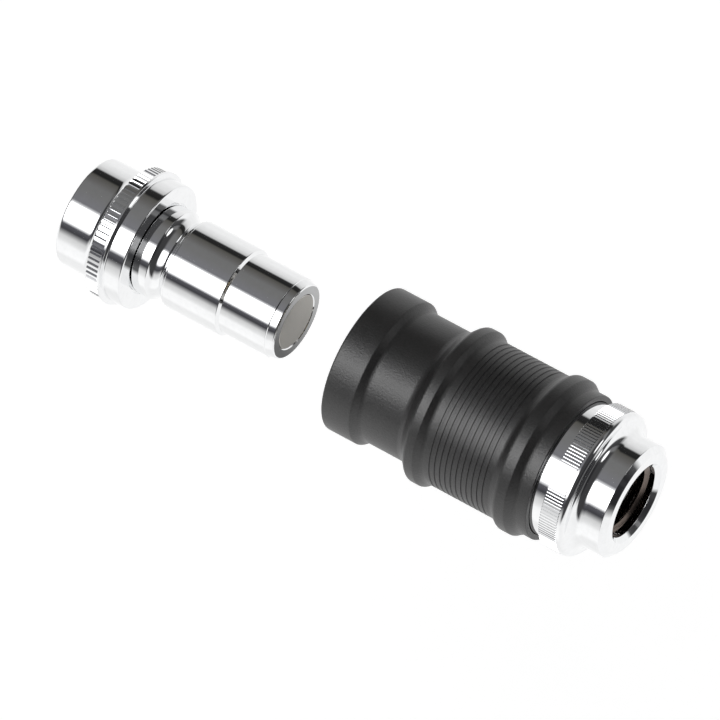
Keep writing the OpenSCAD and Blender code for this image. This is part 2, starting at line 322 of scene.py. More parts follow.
def smooth(piece: bpy.types.Object, angle: float = SHARP) -> None:
    """Shades a piece smooth, with its sharp edges kept and its flats true.

    Args:
        piece: the object.
        angle: edges sharper than this many degrees stay sharp.
    """
    make_active(piece)
    bpy.ops.object.shade_smooth_by_angle(angle=math.radians(angle))
    apply_modifier(piece, "WEIGHTED_NORMAL", mode="FACE_AREA_WITH_ANGLE", weight=100, keep_sharp=True)


@dataclass(frozen=True)
class ToothRing:
    """A knurl: one tooth shaped from a block and copied all round.

    Attributes:
        half: the half it is cut in.
        start: station of its front end.
        end: station of its rear end.
        radius: radius of the crests.
        depth: height of a tooth.
        count: number of teeth.
        crest: tooth width at the crest, as a share of the pitch.
        foot: tooth width at the root, as a share of the pitch.
        lead: length of the slope at each end of a tooth.
        sunk: how far a tooth's foot runs on into the body.
    """

    half: Half
    start: float
    end: float
    radius: float
    depth: float
    count: int
    crest: float
    foot: float = 1.0
    lead: float = 0.12
    sunk: float = 0.12

    def build(self) -> bpy.types.Object:
        """Shapes one tooth and copies it all round.

        Returns:
            The ring of teeth.
        """
        pitch = math.tau * self.radius / self.count
        rooted = self.depth + self.sunk
        centre = Vector((self.half.x((self.start + self.end) / 2), 0.0, self.radius - rooted / 2))
        length = self.end - self.start
        piece = block(centre, Vector((length, pitch * self.foot, rooted)))
        bpy.ops.mesh.select_mode(type="FACE")
        bpy.ops.mesh.select_all(action="DESELECT")
        mesh = bmesh.from_edit_mesh(piece.data)
        for face in mesh.faces:
            face.select_set(face.normal.z > FACING_OUT)
        bmesh.update_edit_mesh(piece.data)
        middle = (centre.x, 0.0, self.radius)
        bpy.ops.transform.resize(value=(1 - 2 * self.lead / length, self.crest / self.foot, 1),
                                 center_override=middle)
        bpy.ops.object.mode_set(mode="OBJECT")
        repeat_round(piece, self.count)
        return piece


@dataclass(frozen=True)
class PortThread:
    """The pipe thread of a port, a ridge wound inside its bore.

    Attributes:
        half: the half it is cut in.
        start: station of its inner end.
        end: station of its outer end.
        major: radius at the root of the ridge.
        minor: radius at its crest.
        pitch: advance of one turn.
        foot: half the ridge's width at the wall, as a share of the pitch.
        crest: half its width at the crest, as a share of the pitch.
        sunk: how far its foot runs on into the wall.
        facets: steps of one turn.
    """

    half: Half
    start: float
    end: float
    major: float = 6.58
    minor: float = 5.72
    pitch: float = 1.337
    foot: float = 0.46
    crest: float = 0.07
    sunk: float = 0.05
    facets: int = SMALL_FACETS

    def build(self) -> bpy.types.Object:
        """Winds the ridge's section along the bore.

        Returns:
            The ridge, closed at both ends.
        """
        low = min(self.half.x(self.start), self.half.x(self.end))
        turns = (abs(self.end - self.start) - self.pitch) / self.pitch
        whole = math.floor(turns)
        foot, crest = self.pitch * self.foot, self.pitch * self.crest
        buried = self.major + self.sunk
        section = [(-foot, buried), (-crest, self.minor), (crest, self.minor), (foot, buried)]
        piece = draw_line([Vector((low + self.pitch * 0.5 + dx, 0.0, r)) for dx, r in section], True)
        bpy.ops.object.mode_set(mode="OBJECT")
        apply_modifier(piece, "SCREW", axis="X", angle=math.tau, screw_offset=self.pitch,
                       iterations=whole, steps=self.facets, render_steps=self.facets,
                       use_merge_vertices=False)
        edit_whole()
        bpy.ops.mesh.fill_holes(sides=0)
        tidy_shell()
        bpy.ops.object.mode_set(mode="OBJECT")
        return piece


@dataclass(frozen=True)
class Coil:
    """A compression spring with closed end turns.

    Attributes:
        half: the half it works in.
        start: station of one end.
        end: station of the other end.
        radius: mean radius of the turns.
        wire: radius of the wire.
        turns: number of turns, with the two closed ones.
        facets: steps of one turn.
        sides: sides of the wire.
        closed_turn: advance of a closed turn, in wire radii.
    """

    half: Half
    start: float
    end: float
    radius: float
    wire: float
    turns: int
    facets: int = 40
    sides: int = 12
    closed_turn: float = 2.1

    def stretch(self, low: float, advance: float, count: int) -> bpy.types.Object:
        """Winds a stretch of wire.

        Args:
            low: place of its first turn's wire centre, in mm.
            advance: length gained in one turn.
            count: number of turns.

        Returns:
            The open tube of wire.
        """
        clear_selection()
        bpy.ops.mesh.primitive_circle_add(vertices=self.sides, radius=self.wire, location=(0, 0, 0),
                                          rotation=(math.pi / 2, 0, 0))
        piece = bpy.context.object
        bpy.ops.object.transform_apply(location=False, rotation=True, scale=False)
        edit_whole()
        bpy.ops.transform.translate(value=(low, 0.0, self.radius))
        bpy.ops.object.mode_set(mode="OBJECT")
        apply_modifier(piece, "SCREW", axis="X", angle=math.tau, screw_offset=advance,
                       iterations=count, steps=self.facets, render_steps=self.facets,
                       use_merge_vertices=False)
        return piece

    def build(self) -> bpy.types.Object:
        """Winds the closed end turns and the open ones between them.

        Returns:
            The spring, its closed turns lying against its seats.
        """
        low, high = sorted((self.half.x(self.start), self.half.x(self.end)))
        closed = self.closed_turn * self.wire
        opened = (high - low - 2 * self.wire - 2 * closed) / (self.turns - 2)
        first = self.stretch(low + self.wire, closed, 1)
        middle = self.stretch(low + self.wire + closed, opened, self.turns - 2)
        last = self.stretch(high - self.wire - closed, closed, 1)
        piece = join(first, [middle, last])
        edit_whole()
        bpy.ops.mesh.remove_doubles(threshold=SAME_SPOT)
        bpy.ops.mesh.select_all(action="SELECT")
        bpy.ops.mesh.fill_holes(sides=0)
        tidy_shell()
        bpy.ops.object.mode_set(mode="OBJECT")
        return piece


@dataclass(frozen=True)
class Spider:
    """A guide of a ring and a hub joined by three legs.

    Attributes:
        half: the half it sits in.
        start: station of its front face.
        thick: its thickness.
        outer: outer radius of the ring.
        inner: inner radius of the ring.
        hub: radius of the hub.
        hole: radius of the hole through the hub.
        leg: width of a leg.
        legs: number of legs.
        thinner: how much thinner the legs are than the rings.
        soft: rounding of the edges.
    """

    half: Half
    start: float
    thick: float
    outer: float
    inner: float
    hub: float
    hole: float
    leg: float = 1.6
    legs: int = 3
    thinner: float = 0.06
    soft: float = 0.12

    def ring(self, outer: float, inner: float) -> bpy.types.Object:
        """Turns a flat ring with broken edges.

        Args:
            outer: its outer radius.
            inner: its inner radius.

        Returns:
            The ring.
        """
        front, rear = self.start, self.start + self.thick
        corners = [Corner(at, radius, self.soft)
                   for at, radius in ((front, inner), (front, outer), (rear, outer), (rear, inner))]
        return turn(self.half, corners, facets=SMALL_FACETS)

    def build(self) -> bpy.types.Object:
        """Makes the two rings and the legs.

        Returns:
            The whole guide.
        """
        middle = self.half.x(self.start + self.thick / 2)
        reach = (self.hub + self.hole) / 2, (self.outer + self.inner) / 2
        centre = Vector((middle, 0.0, (reach[0] + reach[1]) / 2))
        legs = block(centre, Vector((self.thick - self.thinner, self.leg, reach[1] - reach[0])))
        bpy.ops.mesh.select_all(action="SELECT")
        bpy.ops.mesh.bevel(offset=self.soft, segments=2, affect="EDGES")
        bpy.ops.object.mode_set(mode="OBJECT")
        repeat_round(legs, self.legs)
        return join(self.ring(self.outer, self.inner), [self.ring(self.hub, self.hole), legs])


# ---- Finishes ----

# The range that a noise's values mostly fill, and how much of a finish's second colour the
# handling haze brings in, as a share of what the grain does.
NOISE_REACH = (0.3, 0.7)
HAZE_SHARE = 0.5


class NodeDesk:
    """Adds and links the nodes of one tree."""

    def __init__(self, tree: bpy.types.NodeTree) -> None:
        """Takes the tree that the nodes go in."""
        self.tree = tree

    def add(self, kind: str, sockets: dict[Any, Any] | None = None, **settings: Any) -> bpy.types.Node:
        """Adds a node.

        Args:
            kind: the node's type name.
            sockets: value or source socket of each input, by name or number.
            settings: the node's own properties.

        Returns:
            The new node.
        """
        node = self.tree.nodes.new(kind)
        for key, value in settings.items():
            setattr(node, key, value)
        for key, value in (sockets or {}).items():
            if isinstance(value, bpy.types.NodeSocket):
                self.tree.links.new(value, node.inputs[key])
            else:
                node.inputs[key].default_value = value
        return node

    def math(self, operation: str, first: Any, second: Any = 0.0) -> bpy.types.NodeSocket:
        """Returns the result of a Math node on two values or sockets."""
        return self.add("ShaderNodeMath", {0: first, 1: second}, operation=operation).outputs[0]

    def vector(self, operation: str, first: Any, second: Any) -> bpy.types.NodeSocket:
        """Works out a Vector Math node.

        Args:
            operation: what it does.
            first: a vector or a socket.
            second: another one, or the number to scale the first by.

        Returns:
            The result, a number for a dot product and a vector for the rest.
        """
        inputs = {0: first, "Scale" if operation == "SCALE" else 1: second}
        outputs = self.add("ShaderNodeVectorMath", inputs, operation=operation).outputs
        return outputs["Value" if operation == "DOT_PRODUCT" else "Vector"]

    def span(self, value: bpy.types.NodeSocket, low: float, high: float,
             source: tuple[float, float] = NOISE_REACH) -> bpy.types.NodeSocket:
        """Spreads a mask from one range to another.

        Args:
            value: the mask.
            low: what the low end of its range becomes.
            high: what the high end becomes.
            source: the range that it has.

        Returns:
            The mask in its new range.
        """
        sockets = {"Value": value, "From Min": source[0], "From Max": source[1],
                   "To Min": low, "To Max": high}
        return self.add("ShaderNodeMapRange", sockets).outputs["Result"]


def new_material(name: str) -> tuple[bpy.types.Material, NodeDesk]:
    """Starts a material with no nodes.

    Args:
        name: its name.

    Returns:
        The material and a desk to fill it from.
    """
    made = bpy.data.materials.new(name)
    made.use_nodes = True
    made.node_tree.nodes.clear()
    return made, NodeDesk(made.node_tree)


Sockets = dict[str, bpy.types.NodeSocket]


def new_group(name: str, scale: float) -> tuple[bpy.types.NodeTree, NodeDesk, Sockets]:
    """Starts a shader node group that takes a scale and gives one mask.

    Args:
        name: the group's name.
        scale: the scale of its marks until one is given, per metre.

    Returns:
        The group, a desk to fill it from, and the place and scale for its noise.
    """
    tree = bpy.data.node_groups.new(name, "ShaderNodeTree")
    number = {"socket_type": "NodeSocketFloat"}
    tree.interface.new_socket(name="Scale", in_out="INPUT", **number).default_value = scale
    tree.interface.new_socket(name="Mask", in_out="OUTPUT", **number)
    desk = NodeDesk(tree)
    given = {"Vector": desk.add("ShaderNodeTexCoord").outputs["Object"],
             "Scale": desk.add("NodeGroupInput").outputs["Scale"]}
    return tree, desk, given


@cache
def turning_marks() -> bpy.types.NodeTree:
    """Makes the group of fine rings that a lathe leaves, the same all round the axis.

    Returns:
        The group.
    """
    tree, desk, given = new_group("turning_marks", 4000.0)
    parts = desk.add("ShaderNodeSeparateXYZ", {0: given["Vector"]}).outputs
    radius = desk.math("SQRT", desk.math("ADD", desk.math("MULTIPLY", parts[1], parts[1]),
                                         desk.math("MULTIPLY", parts[2], parts[2])))
    flat = desk.add("ShaderNodeCombineXYZ", {0: parts[0], 1: radius}).outputs[0]
    noise = desk.add("ShaderNodeTexNoise", {"Vector": flat, "Scale": given["Scale"], "Detail": 3.0,
                                            "Roughness": 0.6}, noise_dimensions="2D")
    desk.add("NodeGroupOutput", {"Mask": noise.outputs["Fac"]})
    return tree


@cache
def fine_grain() -> bpy.types.NodeTree:
    """Makes the group of the even grain that blasting or moulding leaves.

    Returns:
        The group.
    """
    tree, desk, given = new_group("fine_grain", 5000.0)
    noise = desk.add("ShaderNodeTexNoise", {**given, "Detail": 2.0, "Roughness": 0.7})
    desk.add("NodeGroupOutput", {"Mask": noise.outputs["Fac"]})
    return tree


@cache
def handling_haze() -> bpy.types.NodeTree:
    """Makes the group of broad, faint patches that handling leaves on a surface.

    Returns:
        The group.
    """
    tree, desk, given = new_group("handling_haze", 120.0)
    noise = desk.add("ShaderNodeTexNoise", {**given, "Detail": 4.0, "Roughness": 0.55, "Distortion": 0.6})
    desk.add("NodeGroupOutput", {"Mask": noise.outputs["Fac"]})
    return tree


@dataclass(frozen=True)
class Finish:
    """A surface with its colour, its gloss and the marks of how it was made.

    Attributes:
        name: the material's name.
        colour: its main colour.
        second: the colour that grain or haze brings in.
        metallic: 1 for bare metal, 0 for a coating or rubber.
        gloss: roughness where the surface is cleanest and where it is haziest.
        grain: scale of the grain, per metre.
        grain_colour: how much of the second colour the grain brings in.
        grain_depth: height of the grain, in mm.
        marks: scale of the turning marks, per metre.
        marks_depth: height of the turning marks, in mm.
        haze: scale of the handling patches, per metre.
        specular: strength of the mirror on a finish that isn't metal.
    """

    name: str
    colour: Colour
    second: Colour
    metallic: float
    gloss: tuple[float, float]
    grain: float
    grain_colour: float
    grain_depth: float
    marks: float
    marks_depth: float
    haze: float
    specular: float = 0.5

    def material(self) -> bpy.types.Material:
        """Returns the material, built on first use."""
        return bpy.data.materials.get(self.name) or self.build()

    def build(self) -> bpy.types.Material:
        """Makes the material's nodes.

        Returns:
            The new material.
        """
        made, desk = new_material(self.name)
        grain, marks, haze = (
            desk.add("ShaderNodeGroup", {"Scale": scale}, node_tree=group).outputs["Mask"]
            for group, scale in ((fine_grain(), self.grain), (turning_marks(), self.marks),
                                 (handling_haze(), self.haze)))
        grained = desk.math("MULTIPLY", desk.span(grain, 0.0, 1.0), self.grain_colour)
        hazed = desk.math("MULTIPLY", desk.span(haze, 0.0, 1.0), HAZE_SHARE * self.grain_colour)
        colour = desk.add("ShaderNodeMix", {
            "Factor": desk.math("ADD", grained, hazed),
            6: (*self.colour, 1.0), 7: (*self.second, 1.0)}, data_type="RGBA")
        bumps = desk.add("ShaderNodeBump", {
            "Height": grain, "Distance": self.grain_depth * MM, "Strength": 1.0})
        rings = desk.add("ShaderNodeBump", {
            "Height": marks, "Distance": self.marks_depth * MM, "Strength": 1.0,
            "Normal": bumps.outputs["Normal"]})
        shader = desk.add("ShaderNodeBsdfPrincipled", {
            "Base Color": colour.outputs[2], "Metallic": self.metallic,
            "Roughness": desk.span(haze, *self.gloss),
            "Specular IOR Level": self.specular, "Normal": rings.outputs["Normal"]})
        desk.add("ShaderNodeOutputMaterial", {"Surface": shader.outputs[0]})
        return made


CHROME = Finish(
    "bright_chrome", colour=(0.93, 0.935, 0.94), second=(0.86, 0.865, 0.87),
    metallic=1.0, gloss=(0.035, 0.07), grain=900.0, grain_colour=0.5,
    grain_depth=0.0006, marks=2500.0, marks_depth=0.0004, haze=90.0)
BLACK = Finish(
    "black_anodised_blasted", colour=(0.0035, 0.0034, 0.0035), second=(0.016, 0.0155, 0.0155),
    metallic=0.0, gloss=(0.37, 0.43), grain=2800.0, grain_colour=0.9,
    grain_depth=0.050, marks=3000.0, marks_depth=0.002, haze=70.0, specular=0.74)
# The thread's colours are brownish metal, darkened far below any bare metal as painted shade inside the
# port's bore.
THREAD_PAINTED_SHADE = Finish(
    "cut_thread_painted_shade", colour=(0.19, 0.155, 0.135), second=(0.10, 0.08, 0.07),
    metallic=1.0, gloss=(0.18, 0.28), grain=3000.0, grain_colour=0.6,
    grain_depth=0.002, marks=2600.0, marks_depth=0.05, haze=300.0)
SATIN_VALVE = Finish(
    "satin_valve_face", colour=(0.60, 0.58, 0.54), second=(0.70, 0.68, 0.64),
    metallic=1.0, gloss=(0.30, 0.38), grain=6000.0, grain_colour=0.6,
    grain_depth=0.002, marks=9000.0, marks_depth=0.006, haze=300.0)
SATIN_STEEL = Finish(
    "satin_steel", colour=(0.55, 0.54, 0.52), second=(0.45, 0.44, 0.42),
    metallic=1.0, gloss=(0.22, 0.32), grain=3000.0, grain_colour=0.5,
    grain_depth=0.002, marks=8000.0, marks_depth=0.004, haze=200.0)
BRASS = Finish(
    "turned_brass", colour=(0.72, 0.53, 0.27), second=(0.58, 0.40, 0.18),
    metallic=1.0, gloss=(0.2, 0.3), grain=2500.0, grain_colour=0.5,
    grain_depth=0.002, marks=8000.0, marks_depth=0.005, haze=200.0)
BALL = Finish(
    "polished_ball", colour=(0.80, 0.81, 0.83), second=(0.70, 0.71, 0.73),
    metallic=1.0, gloss=(0.05, 0.12), grain=2500.0, grain_colour=0.5,
    grain_depth=0.0008, marks=3000.0, marks_depth=0.0003, haze=300.0)
WIRE = Finish(
    "spring_wire", colour=(0.62, 0.62, 0.63), second=(0.48, 0.47, 0.46),
    metallic=1.0, gloss=(0.2, 0.32), grain=3500.0, grain_colour=0.7,
    grain_depth=0.003, marks=5000.0, marks_depth=0.002, haze=300.0)
RUBBER = Finish(
    "seal_rubber", colour=(0.018, 0.018, 0.019), second=(0.030, 0.030, 0.031),
    metallic=0.0, gloss=(0.4, 0.52), grain=4000.0, grain_colour=0.8,
    grain_depth=0.003, marks=3000.0, marks_depth=0.001, haze=200.0)


def hand_in(piece: bpy.types.Object, name: str, body: str, finish: Finish, node: str,
            angle: float = SHARP) -> bpy.types.Object:
    """Brings a shaped piece to metres, dresses it, hangs it on its body and hides the CAD node that it stands
    for.

    Args:
        piece: the object, in mm.
        name: the piece's name.
        body: the body that it rides on.
        finish: its finish.
        node: the CAD node that it stands for.
        angle: edges sharper than this many degrees stay sharp.

    Returns:
        The finished piece.
    """
    smooth(piece, angle)
    piece.scale = (MM, MM, MM)
    bpy.ops.object.transform_apply(location=False, rotation=False, scale=True)
    piece.name = piece.data.name = name
    piece.data.materials.clear()
    piece.data.materials.append(finish.material())
    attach(piece, body)
    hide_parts(node)
    log.info("%s: %d faces, %s, rides on %s", name, len(piece.data.polygons), finish.name, body)
    return piece


def dress_node(node: str, finish: Finish) -> None:
    """Gives a CAD node whose shape is right its finish."""
    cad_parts[node].material_slots[0].material = finish.material()
    log.info("%s: CAD node, %s", node, finish.name)


# ---- Socket half ----

Span = tuple[float, float]
Stations = tuple[float, float, float, float]


@dataclass
class ReleaseSleeve:
    """The black sleeve that is pulled back to let the plug go.

    Attributes:
        length: from the front rim to the rear one.
        lip: radius of the front lip.
        lip_at: stations of the lip's rear flank, from its edge to its foot.
        barrel: radius of the plain stretch behind the lip.
        bead: radius of the two beads.
        front_bead: stations of the front bead's flanks.
        rear_bead: stations of the rear bead's flanks.
        rear_lip: radius of the rear rim.
        grip: radius of the grooved grip.
        groove_count: number of grooves.
        groove_at: stations of the first groove and the last.
        groove_depth: depth of a groove.
        groove_half: half its width at the top.
        groove_wall: width of each of its sloping walls.
        groove_soft: rounding of its edges.
        mouth: width and depth of the chamfer at the front of the bore.
        recess: radius of the recess that the balls move out into.
        land: radius of the land that holds the balls in.
        ramp: stations of the ramp from the recess to the land.
        rib: radius inside the rib that the spring pushes on.
        rib_at: stations of the rib's two faces.
        chamber: radius of the spring's chamber.
        counterbore: radius of the counterbore at the rear.
        counterbore_at: station of its floor.
    """

    length: float = 40.85
    lip: float = 13.2
    lip_at: Span = (5.75, 7.0)
    barrel: float = 12.1
    bead: float = 14.35
    front_bead: Stations = (15.2, 17.3, 19.05, 20.15)
    rear_bead: Stations = (33.75, 35.1, 37.15, 38.55)
    rear_lip: float = 13.3
    grip: float = 13.35
    groove_count: int = 11
    groove_at: Span = (21.9, 32.4)
    groove_depth: float = 0.15
    groove_half: float = 0.22
    groove_wall: float = 0.06
    groove_soft: float = 0.03
    mouth: float = 0.6
    recess: float = 11.65
    land: float = 11.18
    ramp: Span = (2.9, 4.0)
    rib: float = 10.2
    rib_at: Span = (17.3, 19.3)
    chamber: float = 11.6
    counterbore: float = 12.3
    counterbore_at: float = 38.2

    def grooves(self) -> Outline:
        """Works out the corners of the grip's grooves.

        Returns:
            The corners from the first groove to the last.
        """
        first, last = self.groove_at
        pitch = (last - first) / (self.groove_count - 1)
        floor = self.grip - self.groove_depth
        corners: Outline = []
        for i in range(self.groove_count):
            at = first + pitch * i
            front, rear = at - self.groove_half, at + self.groove_half
            corners += [Corner(station, radius, self.groove_soft) for station, radius in (
                (front, self.grip), (front + self.groove_wall, floor),
                (rear - self.groove_wall, floor), (rear, self.grip))]
        return corners

    def bead_corners(self, at: Stations, front: Corner, rear: float) -> Outline:
        """Works out the corners of a bead between its two neighbours.

        Args:
            at: stations of its flanks.
            front: the corner at its front foot.
            rear: radius behind it.

        Returns:
            Its four corners.
        """
        return [front, Corner(at[1], self.bead, 0.3, 5), Corner(at[2], self.bead, 0.12, 3),
                Corner(at[3], rear, 0.4, 5)]

    def outside(self) -> Outline:
        """Draws the outline from the front rim to the rear one.

        Returns:
            Its corners.
        """
        edge, foot = self.lip_at
        front_foot = Corner(self.front_bead[0], self.barrel, 0.8, 8)
        rear_foot = Corner(self.rear_bead[0], self.grip, 0.4, 5)
        return [
            Corner(0, self.lip, 0.4, 5), Corner(edge, self.lip, 0.14, 3), Corner(foot, self.barrel, 0.45, 6),
            *self.bead_corners(self.front_bead, front_foot, self.grip), *self.grooves(),
            *self.bead_corners(self.rear_bead, rear_foot, self.rear_lip),
            Corner(self.length, self.rear_lip, 0.18, 3), Corner(self.length, self.counterbore, 0.1),
        ]

    def inside(self) -> Outline:
        """Returns the outline back to the front, with the rib and the ramp of the ball land."""
        rib_front, rib_rear = self.rib_at
        return [
            Corner(self.counterbore_at, self.counterbore), Corner(self.counterbore_at, self.chamber),
            Corner(rib_rear, self.chamber), Corner(rib_rear, self.rib, 0.1),
            Corner(rib_front, self.rib, 0.1), Corner(rib_front, self.land),
            Corner(self.ramp[1], self.land, 0.2), Corner(self.ramp[0], self.recess, 0.2),
            Corner(self.mouth, self.recess, 0.1), Corner(0, self.recess + self.mouth, 0.1),
        ]

    def build(self) -> None:
        """Turns and dresses the sleeve."""
        piece = turn(Half.SOCKET, self.outside() + self.inside())
        hand_in(piece, "grip_sleeve", "sleeve", BLACK, "release_sleeve")


@dataclass
class ThreadedPort:
    """What the rear bodies of both halves share: a threaded port with a chamfered mouth.

    Attributes:
        length: station of the port's face.
        bore: radius at the root of the thread.
        lead: width and depth of the mouth's chamfer.
        thread_gap: from the thread's outer end to the port's face.
        thread_start: station of the thread's inner end.
        passage: radius of the bore beyond it.
    """

    length: float
    bore: float = 6.58
    lead: float = 0.8
    thread_gap: float = 0.9
    thread_start: float = 0.0
    passage: float = 6.0

    def mouth(self) -> Outline:
        """Returns the corners from the port's face in to the end of its thread."""
        return [
            Corner(self.length, self.bore + self.lead, 0.06),
            Corner(self.length - self.lead, self.bore, 0.06),
            Corner(self.thread_start, self.bore), Corner(self.thread_start, self.passage),
        ]

    def thread(self, half: Half) -> bpy.types.Object:
        """Returns the port's thread, cut in one of the halves."""
        return PortThread(half, self.thread_start, self.length - self.thread_gap).build()


@dataclass
class SocketPort(ThreadedPort):
    """The chromed rear of the socket, with its guide band, fine knurl and port.

    Attributes:
        length: station of the port's face.
        thread_start: station of the thread's inner end.
        passage: radius of the bore beyond it.
        skirt: outer radius of the skirt inside the sleeve.
        skirt_bore: inner radius of the skirt.
        skirt_at: station of its front end.
        skirt_end: station where its bore ends.
        band: radius of the guide band.
        band_start: station of the band's front face.
        band_edge: width of the slope from the band down to the knurl's root.
        knurl: radius of the knurl's crests.
        knurl_start: station of its front end.
        knurl_end: station of its rear end.
        tooth_depth: height of a tooth.
        tooth_crest: tooth width at the crest, as a share of the pitch.
        root_gap: how far the body lies under the roots of the teeth.
        teeth: number of teeth.
        rim_round: radius of the rounding behind the knurl.
        rim_edge: station of the shoulder's rear face.
        shoulder: radius of the hollow between the shoulder and the port's barrel.
        barrel: radius of the port's barrel.
        bevel_at: station where the bevel to the port's face starts.
        face: outer radius of the port's face.
    """

    length: float = 54.0
    thread_start: float = 44.6
    passage: float = 5.9
    skirt: float = 10.1
    skirt_bore: float = 9.2
    skirt_at: float = 33.05
    skirt_end: float = 43.6
    band: float = 12.2
    band_start: float = 40.2
    band_edge: float = 0.05
    knurl: float = 13.2
    knurl_start: float = 43.2
    knurl_end: float = 46.7
    tooth_depth: float = 0.22
    tooth_crest: float = 0.48
    root_gap: float = 0.02
    teeth: int = 144
    rim_round: float = 1.2
    rim_edge: float = 47.85
    shoulder: float = 2.05
    barrel: float = 10.35
    bevel_at: float = 53.1
    face: float = 9.2

    def outline(self) -> Outline:
        """Returns the section of the whole turned body."""
        root = self.knurl - self.tooth_depth - self.root_gap
        return [
            Corner(self.skirt_at, self.skirt, 0.1), Corner(self.band_start, self.skirt),
            Corner(self.band_start, self.band, 0.3, 3),
            Corner(self.knurl_start - self.band_edge, self.band, 0.1), Corner(self.knurl_start, root),
            Corner(self.knurl_end, root), Corner(self.knurl_end, self.knurl),
            *hollow(self.knurl_end, self.knurl - self.rim_round, self.rim_round, 78, 25, 9),
            *hollow(self.rim_edge + self.shoulder, self.barrel + self.shoulder, self.shoulder, 180, 270, 18),
            Corner(self.bevel_at, self.barrel, 0.07), Corner(self.length, self.face, 0.07), *self.mouth(),
            Corner(self.skirt_end, self.passage), Corner(self.skirt_end, self.skirt_bore),
            Corner(self.skirt_at, self.skirt_bore),
        ]

    def build(self) -> None:
        """Turns the body, cuts its knurl and thread, and dresses them."""
        body = turn(Half.SOCKET, self.outline())
        teeth = ToothRing(Half.SOCKET, self.knurl_start, self.knurl_end, self.knurl, self.tooth_depth,
                          self.teeth, crest=self.tooth_crest).build()
        hand_in(join(body, [teeth]), "socket_rear", "socket", CHROME, "socket_port")
        hand_in(self.thread(Half.SOCKET), "socket_thread", "socket", THREAD_PAINTED_SHADE, "socket_port")


@dataclass
class SocketTube:
    """The tube that takes the plug, with its ball holes and seal grooves.

    Attributes:
        front: station of its front face.
        outer: outer radius of its front.
        outer_end: station where that ends.
        waist: outer radius along the sleeve's spring.
        waist_end: station where the waist ends.
        tail: outer radius of the tail inside the rear body.
        end: station of its rear end.
        body_seal: stations of the groove of the joint's seal.
        body_seal_floor: radius of that groove's floor.
        bore: radius that takes the plug's lock barrel.
        mouth: radius of the chamfer at the front.
        mouth_end: station where the chamfer ends.
        cone: stations of the cone down to the guide.
        guide: radius that takes the plug's nose barrel.
        nose_seal: stations of the groove of the nose's seal.
        seal_floor: radius of that groove's floor.
        ball_at: station of the balls.
        hole: radius of a ball hole.
        hole_lip: radius of the lip that keeps the ball in.
        drill_start: how far inside the bore the drill starts.
        drill_step: from there to where it widens.
        drill_reach: length of its wide part.
        drill_facets: sides of the drill.
        balls: number of balls.
    """

    front: float = 0.6
    outer: float = 11.1
    outer_end: float = 17.25
    waist: float = 10.1
    waist_end: float = 33.04
    tail: float = 9.18
    end: float = 42.0
    body_seal: Span = (37.6, 39.0)
    body_seal_floor: float = 8.2
    bore: float = 8.05
    mouth: float = 9.3
    mouth_end: float = 1.9
    cone: Span = (17.6, 18.0)
    guide: float = 7.45
    nose_seal: Span = (19.6, 22.0)
    seal_floor: float = 9.0
    ball_at: float = 4.2
    hole: float = 1.82
    hole_lip: float = 1.62
    drill_start: float = 1.0
    drill_step: float = 1.3
    drill_reach: float = 3.5
    drill_facets: int = 40
    balls: int = 8

    def outline(self) -> Outline:
        """Returns the section of the tube."""
        (groove, groove_end), (seal, seal_end), (cone, cone_end) = self.body_seal, self.nose_seal, self.cone
        return [
            Corner(self.front, self.outer, 0.4, 3), Corner(self.outer_end, self.outer),
            Corner(self.outer_end, self.waist), Corner(self.waist_end, self.waist),
            Corner(self.waist_end, self.tail), Corner(groove, self.tail),
            Corner(groove, self.body_seal_floor), Corner(groove_end, self.body_seal_floor),
            Corner(groove_end, self.tail), Corner(self.end, self.tail, 0.25),
            Corner(self.end, self.guide), Corner(seal_end, self.guide),
            Corner(seal_end, self.seal_floor), Corner(seal, self.seal_floor),
            Corner(seal, self.guide), Corner(cone_end, self.guide), Corner(cone, self.bore),
            Corner(self.mouth_end, self.bore, 0.2), Corner(self.front, self.mouth, 0.1),
        ]

    def drill(self) -> bpy.types.Object:
        """Shapes the stepped drill of the ball holes and copies it all round.

        Returns:
            The drills, in mm.
        """
        at = Half.SOCKET.x(self.ball_at)
        clear_selection()
        bpy.ops.mesh.primitive_circle_add(vertices=self.drill_facets, radius=self.hole_lip, fill_type="NGON",
                                          location=(0, 0, 0))
        piece = bpy.context.object
        edit_whole()
        bpy.ops.transform.translate(value=(at, 0.0, self.bore - self.drill_start))
        bpy.ops.mesh.extrude_region_move(TRANSFORM_OT_translate={"value": (0, 0, self.drill_step)})
        bpy.ops.mesh.extrude_region_move(TRANSFORM_OT_translate={"value": (0, 0, 0)})
        wide = self.hole / self.hole_lip
        bpy.ops.transform.resize(value=(wide, wide, 1), center_override=(at, 0, 0))
        bpy.ops.mesh.extrude_region_move(TRANSFORM_OT_translate={"value": (0, 0, self.drill_reach)})
        tidy_shell()
        bpy.ops.object.mode_set(mode="OBJECT")
        repeat_round(piece, self.balls)
        return piece

    def build(self) -> None:
        """Turns the tube, drills it and dresses it with its balls and seals."""
        tube = turn(Half.SOCKET, self.outline())
        drill = self.drill()
        apply_modifier(tube, "BOOLEAN", operation="DIFFERENCE", object=drill, solver="EXACT")
        bpy.data.objects.remove(drill)
        hand_in(tube, "socket_tube", "socket", SATIN_STEEL, "socket_body")
        for number in range(1, self.balls + 1):
            dress_node(f"lock_ball_{number}", BALL)
        dress_node("nose_seal", RUBBER)
        dress_node("body_seal", RUBBER)


